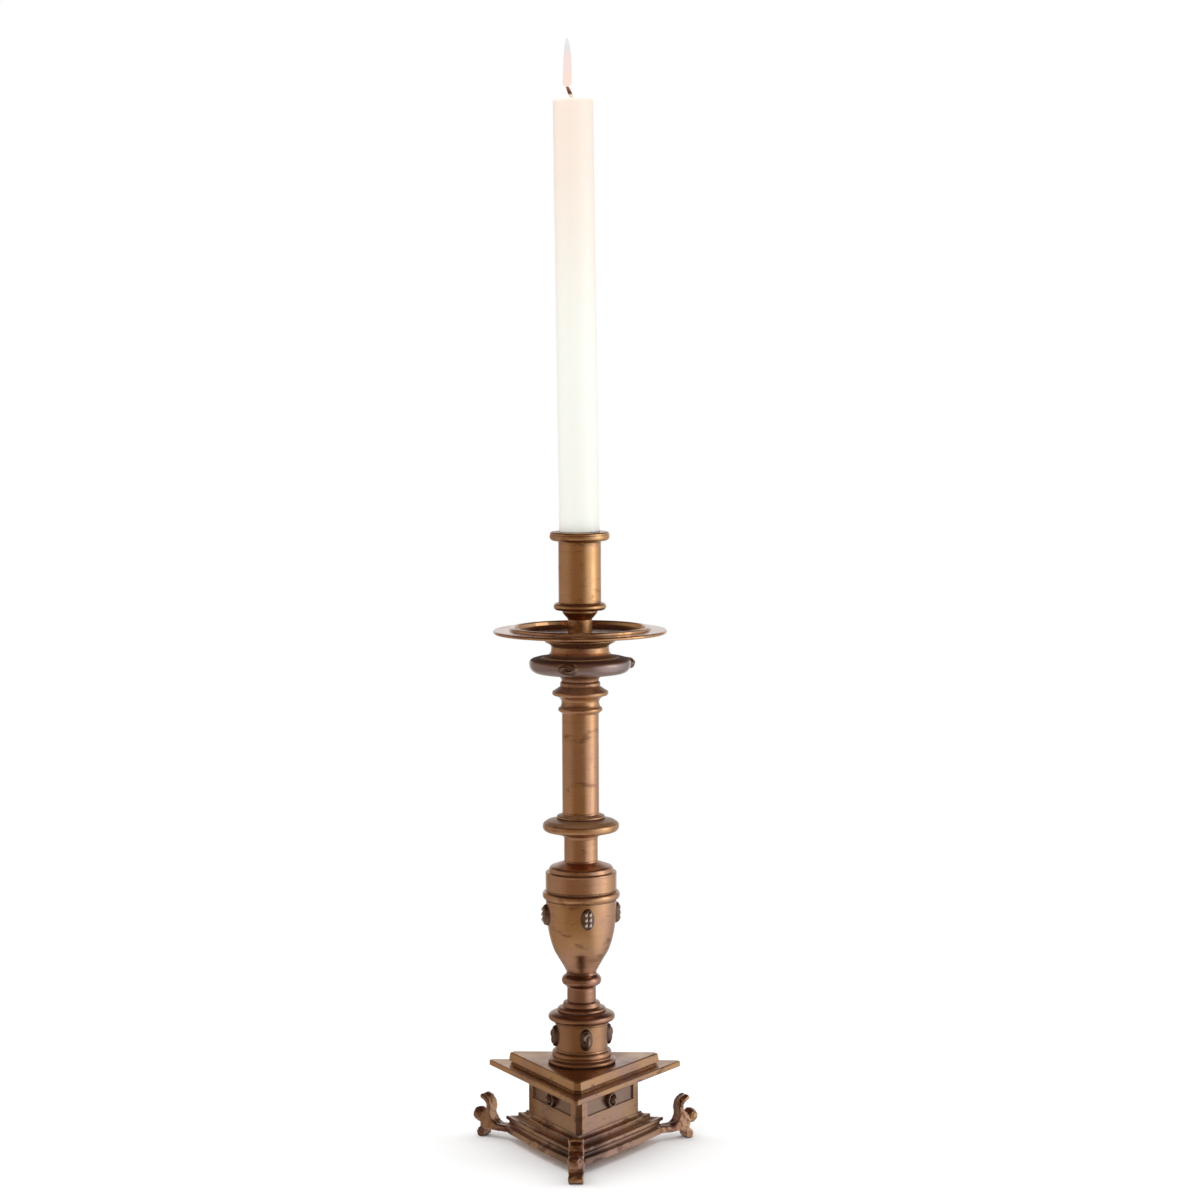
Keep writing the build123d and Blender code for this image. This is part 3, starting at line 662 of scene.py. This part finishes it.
def candle_piece(material):
    """A drawn taper: its butt stands in the socket and its top has melted into a shallow pool."""
    low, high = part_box("candle")
    radius = high.x
    butt = radius - BUTT_STEP
    butt_edge = 0.8 * MM
    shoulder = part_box("candle_cup")[1].z
    wall_low = shoulder + 0.3 * MM
    wall_high = high.z - 1.5 * MM
    wobble = 0.12 * MM
    lip_in, lip_up = 0.9 * MM, 1.3 * MM
    wall_steps, lip_steps = 40, 6
    # The pool's slope: the share of the radius, and the depth under the top in mm.
    pool = ((0.84, 0.15), (0.72, 0.6), (0.55, 1.1), (0.35, 1.3), (0.12, 1.35))

    rows = [ring_of(butt - butt_edge, low.z, 0), ring_of(butt, low.z + butt_edge, 0)]
    rows += [ring_of(butt, shoulder, 0), ring_of(radius, shoulder + 0.02 * MM, 0)]
    rows.append(ring_of(radius, wall_low, 0))
    for k in range(1, wall_steps + 1):
        rows.append(ring_of(radius - wobble, wall_low + (wall_high - wall_low) * k / wall_steps, wobble))
    for k in range(1, lip_steps + 1):
        t = pi / 2 * k / lip_steps
        rows.append(ring_of(radius - wobble - lip_in * (1 - cos(t)), wall_high + lip_up * sin(t), 0.25 * MM))
    for share, depth in pool:
        rows.append(ring_of(radius * share, high.z - depth * MM, 0.15 * MM))
    middle = (0, 0, high.z - pool[-1][1] * MM)
    mesh = mesh_from_rows("taper", rows, low_tip=(0, 0, low.z), high_tip=middle)
    piece = new_object("taper", mesh)
    finish_with(piece, material)
    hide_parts("candle")
    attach(piece, "candle")
    return piece


def wick_piece(material):
    """Three twisted strands that lean further and further towards -X."""
    low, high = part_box("wick")
    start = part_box("candle")[1].z - WICK_ROOT
    reach = -low.x - 0.3 * MM
    steps, segments = 60, 24

    def middle(t):
        return Vector((-reach * t ** 1.3, 0, start + (high.z - start) * t))

    rows = []
    for i in range(steps + 1):
        t = i / steps
        centre = middle(t)
        ahead = (middle(t + 0.01) - centre).normalized()
        side = Vector((0, 1, 0))
        across = side.cross(ahead)
        radius = WICK_R * (0.5 + 0.5 * min(t / 0.45, 1)) * (1 - 0.4 * t ** 6)
        row = []
        for k in range(segments):
            a = 2 * pi * k / segments
            r = radius * (0.86 + 0.14 * abs(cos(1.5 * (a - 14 * t))))
            row.append(centre + r * (cos(a) * across + sin(a) * side))
        rows.append(row)
    mesh = mesh_from_rows("twisted_wick", rows, low_tip=middle(0), high_tip=middle(1))
    piece = new_object("twisted_wick", mesh)
    finish_with(piece, material)
    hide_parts("wick")
    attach(piece, "candle")
    return piece


def flame_piece(material, low, high, x):
    """A slim flame with a blunt tip that sways a little as it rises."""
    steps, segments = 40, 48

    def sway(t):
        return x + FLAME_SWAY * sin(2.2 * t)

    rows = []
    for i in range(1, steps):
        t = i / steps
        radius = FLAME_R * sqrt(min(t / 0.07, 1)) * (1 - t ** 3) ** 0.6
        z = low + (high - low) * t
        row = []
        for k in range(segments):
            a = 2 * pi * k / segments
            row.append((sway(t) + radius * cos(a), radius * sin(a), z))
        rows.append(row)
    mesh = mesh_from_rows("flame", rows, low_tip=(x, 0, low), high_tip=(sway(1), 0, high))
    piece = new_object("flame", mesh)
    finish_with(piece, material)
    piece.visible_shadow = False
    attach(piece, "candle")
    return piece


def lean_in_socket(pieces):
    """Leans the candle in its loose socket until one side of its shoulder rests on the rim."""
    low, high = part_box("candle")
    pivot = (low.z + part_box("candle_cup")[1].z) / 2
    rise = high.x * abs(sin(CANDLE_LEAN))
    lean = Matrix.Rotation(CANDLE_LEAN, 4, "Y") @ Matrix.Translation((0, 0, -pivot))
    lean = Matrix.Translation((0, 0, pivot + rise)) @ lean
    for piece in pieces:
        piece.data.transform(lean)


def candle():
    """The lit candle: its taper, its wick and a flame that stands on the wick."""
    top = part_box("candle")[1].z
    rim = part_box("candle_cup")[1].z
    wick_low, wick_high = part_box("wick")
    flame_low, flame_high = wick_high.z - 0.4 * MM, top + FLAME_RISE
    taper = candle_piece(wax(rim, top))
    wick = wick_piece(wick_cotton(top - WICK_ROOT, wick_high.z))
    glow = flame_glow(flame_low, flame_high)
    flame = flame_piece(glow, flame_low, flame_high, wick_low.x + 0.3 * MM)
    lean_in_socket((taper, wick, flame))


# ---- Stage ----
def floor():
    """A round floor that mirrors don't see."""
    body = bmesh.new()
    bmesh.ops.create_circle(body, cap_ends=True, segments=128, radius=0.7)
    mesh = bpy.data.meshes.new("floor")
    body.to_mesh(mesh)
    body.free()
    piece = new_object("floor", mesh)
    finish_with(piece, pale_floor())
    piece.visible_glossy = False


def area_light(name, place, aim, size, watts, colour=WHITE, in_gloss=True):
    """A rectangular light that the camera doesn't see, and mirrors only if in_gloss."""
    data = bpy.data.lights.new(name, "AREA")
    data.shape = "RECTANGLE"
    data.size, data.size_y = size
    data.energy = watts
    data.color = colour
    lamp = bpy.data.objects.new(name, data)
    bpy.context.scene.collection.objects.link(lamp)
    lamp.location = place
    lamp.rotation_euler = (Vector(aim) - Vector(place)).to_track_quat("-Z", "Y").to_euler()
    lamp.visible_glossy = in_gloss
    lamp.visible_camera = False


def studio():
    """White to the camera and to dull surfaces. Polished metal sees a bright right side and back,
    a dim warm room on the left and in front, and a dark ceiling."""
    world = bpy.data.worlds.new("studio")
    bpy.context.scene.world = world
    world.use_nodes = True
    world.node_tree.nodes.clear()
    s = ShaderTree(world.node_tree)
    way = s.split(s.node("TexCoord").outputs["Generated"])
    right = s.times(s.span(way["X"], 0.40, 0.86), s.span(way["Y"], 0.0, 0.60, 1.0, 0.55))
    back = s.span(way["Y"], 0.70, 0.97, 0.0, 0.72)
    left = s.span(way["X"], -0.95, -0.55, 0.22, 0.0)
    ground = s.span(way["Z"], -0.80, -0.25, 0.40, 0.0)
    lit = s.larger(s.larger(right, back), s.larger(left, ground))
    room = s.mix(lit, ROOM_WARM, ROOM_BRIGHT)
    room = s.mix(s.span(way["Z"], 0.20, 0.70), room, CEILING)
    rays = s.node("LightPath").outputs
    seen_white = s.larger(rays["Is Camera Ray"], rays["Is Diffuse Ray"])
    background = s.node("Background")
    s.feed(background.inputs["Color"], s.mix(seen_white, room, WHITE))
    s.feed(s.node("OutputWorld").inputs["Surface"], background.outputs["Background"])
    bpy.context.scene.view_settings.view_transform = "Standard"


def camera():
    """Stands at CAMERA_ANGLE round the column and looks at its axis, turned by the yaw, pitch and roll."""
    data = bpy.data.cameras.new("camera")
    data.lens = CAMERA_LENS
    data.clip_start = 0.05
    data.clip_end = 60
    eye = bpy.data.objects.new("camera", data)
    bpy.context.scene.collection.objects.link(eye)
    eye.location = (CAMERA_REACH * cos(CAMERA_ANGLE), CAMERA_REACH * sin(CAMERA_ANGLE), CAMERA_HEIGHT)
    heading = CAMERA_ANGLE + pi - CAMERA_YAW
    turn = Matrix.Rotation(heading - pi / 2, 4, "Z") @ Matrix.Rotation(pi / 2 - CAMERA_PITCH, 4, "X")
    eye.rotation_euler = (turn @ Matrix.Rotation(CAMERA_ROLL, 4, "Z")).to_euler()
    bpy.context.scene.camera = eye


# ---- The object ----
def dress_nodes():
    """Gives every CAD node that stays visible its material."""
    turned = aged_brass("turned_brass", (1, 1, 14))
    dull = aged_brass("dull_brass", (1, 1, 10), DULL_GOLD, DULL_ROSE)
    # painted_top_shade darkens upward faces with painted shade. On the spool, with its wide recess reach, it
    # paints the shade under the pan; on the disc, a painted reflection of the pan's dark underside.
    ringed = aged_brass("ringed_brass", (1, 1, 14), GOLD, ROSE, 8 * MM, (0.38, 0.88), painted_top_shade=0.5)
    spool = aged_brass("spool_brass", (1, 1, 14), GOLD, ROSE, 12 * MM, (0.25, 0.60), painted_top_shade=0.85)
    bronze = aged_brass("dark_bronze", (1, 1, 10), BRONZE, BRONZE_RED, 10 * MM, (0.40, 0.90), coat=1.0,
                        coat_ior=2.1, painted_top_shade=0.9)
    polished = aged_brass("pan_brass", (1, 1, 3), recess_reach=3 * MM, rough_span=(0.10, 0.20),
                          edge=0.5 * MM, pitted=0.01 * MM)
    plates = aged_brass("cap_brass", (1, 1, 5), GOLD, CAST_ROSE, 3 * MM, (0.05, 0.35), stains=(0.57, 0.7))
    plinth_corner = Vector((0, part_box("plinth")[0].y + 9 * MM, 13 * MM))
    finishes = (
        (stained_brass_with_corner_shadow(plinth_corner), ("plinth",)),
        (panelled_brass(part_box("die")[1].y), ("die",)),
        (plates, ("cornice", "cap")),
        (dull, ("drum_base", "drum", "drum_cap", "knop")),
        (turned, ("urn", "urn_lid", "collar_neck", "stem", "cup_stand", "candle_cup")),
        (ringed, ("collar", "capital")),
        (bronze, ("boss_disc",)),
        (spool, ("pan_spool",)),
        (polished, ("drip_pan",)),
        (steel(), ("tie_rod", "tie_washer", "tie_nut", "foot_screws")),
    )
    for material, names in finishes:
        for name in names:
            finish_with(nodes[name], material)


def all_ornaments():
    """Every relief, with its edge sunk a little into the wall behind it."""
    brass = dark_brass()
    urn_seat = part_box("urn")[1].x - 0.4 * MM
    drum_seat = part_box("drum")[1].x - 0.2 * MM
    disc_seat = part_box("boss_disc")[1].x - 0.2 * MM
    panel_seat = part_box("die")[1].y - PANEL_DEPTH
    ornaments(brass, "urn_cabochons", urn_button, BUTTON_HALF, urn_seat)
    ornaments(brass, "drum_cabochons", drum_button, BUTTON_HALF, drum_seat)
    ornaments(brass, "disc_rosettes", disc_flower, DISC_FLOWER_HALF, disc_seat)
    ornaments(brass, "die_rosettes", panel_flower, PANEL_FLOWER_HALF, panel_seat)


dress_nodes()
feet(aged_brass("foot_brass", (1, 1, 1), CAST_GOLD, DULL_ROSE, 3 * MM, stains=(0.50, 0.85),
                rough_span=(0.28, 0.50), pitted=0.25 * MM))
all_ornaments()
candle()
floor()
studio()
area_light("overhead", place=(-0.2, -0.3, 1.6), aim=(0, 0, 0), size=(1.4, 1.4), watts=9, in_gloss=False)
area_light("side_box", place=(1.28, -0.18, 0.50), aim=(0, 0, 0.25), size=(0.6, 1.1), watts=2.2,
           colour=(1, 0.99, 0.97))
camera()
